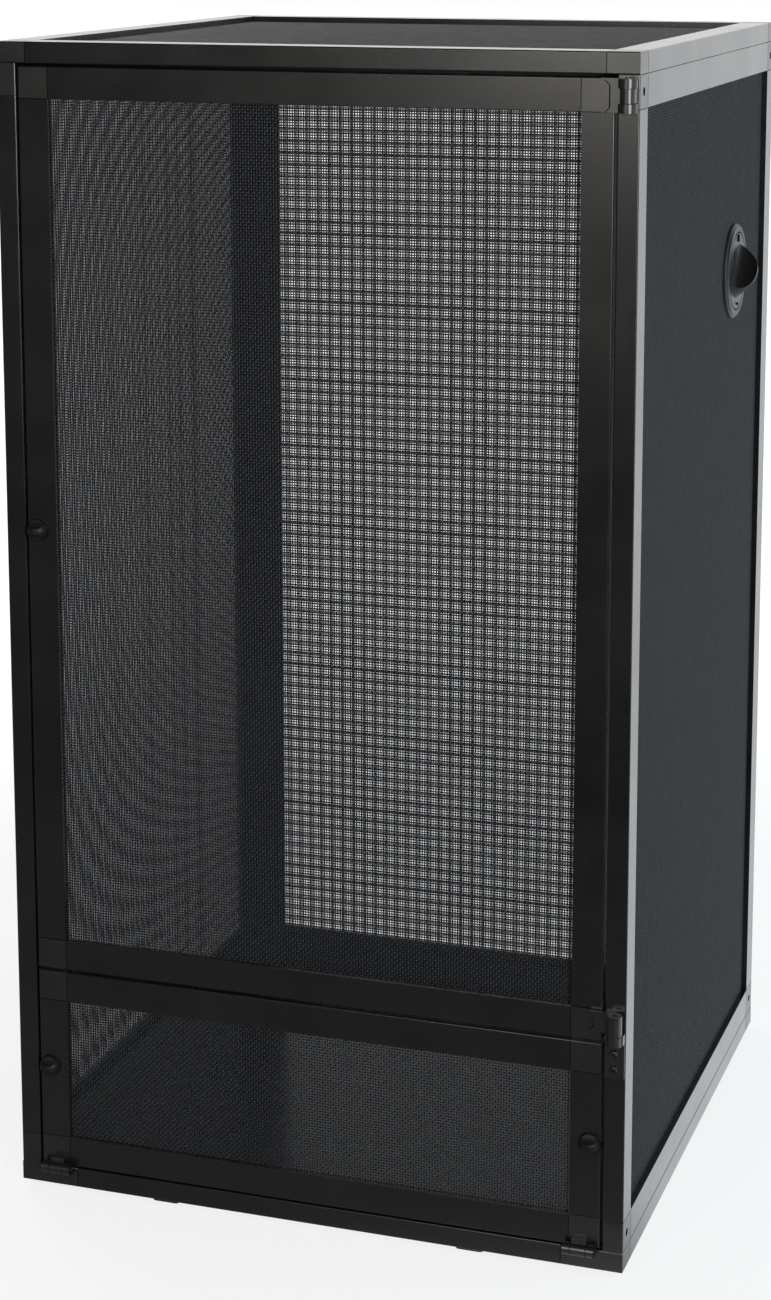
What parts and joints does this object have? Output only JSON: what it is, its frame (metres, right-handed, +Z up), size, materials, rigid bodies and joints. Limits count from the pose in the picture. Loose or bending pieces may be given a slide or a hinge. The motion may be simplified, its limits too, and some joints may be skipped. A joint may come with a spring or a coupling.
{
  "type": "mesh reptile cage",
  "caption": "Tall open-air mesh cage with a framed swing door, a fold-down lower door, turn latches, a round capped port in one side and a solid floor panel.",
  "frame": {"origin": "middle of the cage's plan, on the plane that the feet stand on", "axes": "+Z up, +X to the right as seen from the doors, the doors face -Y"},
  "size_m": [0.427, 0.4247, 0.763],
  "materials": {
    "rail": "satin black coating",
    "corner": "satin moulded",
    "mesh": "black coated wire",
    "spline": "matt",
    "floor": "semi-gloss",
    "feet": "matt",
    "knob": "satin moulded",
    "port": "satin moulded",
    "steel": "black oxide"
  },
  "bodies": {
    "cage": {"lid_rails": "rail", "lid_side_rails": "rail", "lid_corners": "corner", "lid_mesh": "mesh", "lid_spline": "spline", "base_rails": "rail", "base_side_rails": "rail", "base_corners": "corner", "floor_panel": "floor", "feet": "feet", "left_stiles": "rail", "left_rails": "rail", "left_corners": "corner", "left_mesh": "mesh", "left_spline": "spline", "right_stiles": "rail", "right_rails": "rail", "right_corners": "corner", "right_mesh": "mesh", "right_spline": "spline", "back_stiles": "rail", "back_rails": "rail", "back_corners": "corner", "back_mesh": "mesh", "back_spline": "spline", "panel_screws": "steel", "upper_hinge_pin": "steel", "lower_hinge_pin": "steel", "hinge_bracket": "corner", "bracket_screws": "steel", "flap_hinge_pins": "steel", "port_flange": "port", "port_ring": "port", "port_screws": "steel"},
    "upper_door": {"upper_door_hinge_stile": "rail", "upper_door_latch_stile": "rail", "upper_door_rails": "rail", "upper_door_corners": "corner", "upper_door_mesh": "mesh", "upper_door_spline": "spline"},
    "lower_door": {"lower_door_stiles": "rail", "lower_door_rails": "rail", "lower_door_corners": "corner", "lower_door_mesh": "mesh", "lower_door_spline": "spline"},
    "upper_latch": {"upper_latch_knob": "knob", "upper_latch_cam": "knob", "upper_latch_screw": "steel"},
    "left_latch": {"left_latch_knob": "knob", "left_latch_cam": "knob", "left_latch_screw": "steel"},
    "right_latch": {"right_latch_knob": "knob", "right_latch_cam": "knob", "right_latch_screw": "steel"},
    "port_cap": {"port_cap": "port"}
  },
  "joints": [
    {"name": "upper_door_swing", "type": "hinge", "parent": "cage", "child": "upper_door", "pos_m": [0.2007, -0.21255, 0.45], "axis": [0, 0, 1], "range_deg": [0, 170]},
    {"name": "lower_door_fold", "type": "hinge", "parent": "cage", "child": "lower_door", "pos_m": [0, -0.21085, 0.017], "axis": [1, 0, 0], "range_deg": [0, 95]},
    {"name": "upper_latch_turn", "type": "hinge", "parent": "upper_door", "child": "upper_latch", "pos_m": [-0.1845, -0.2, 0.45165], "axis": [0, 1, 0], "range_deg": [0, 90]},
    {"name": "left_latch_turn", "type": "hinge", "parent": "lower_door", "child": "left_latch", "pos_m": [-0.1845, -0.2, 0.08686], "axis": [0, 1, 0], "range_deg": [0, 90]},
    {"name": "right_latch_turn", "type": "hinge", "parent": "lower_door", "child": "right_latch", "pos_m": [0.1845, -0.2, 0.08686], "axis": [0, -1, 0], "range_deg": [0, 90]},
    {"name": "port_cap_turn", "type": "hinge", "parent": "cage", "child": "port_cap", "pos_m": [0.2065, 0.09292, 0.59732], "axis": [-1, 0, 0], "range_deg": [0, 60]}
  ]
}
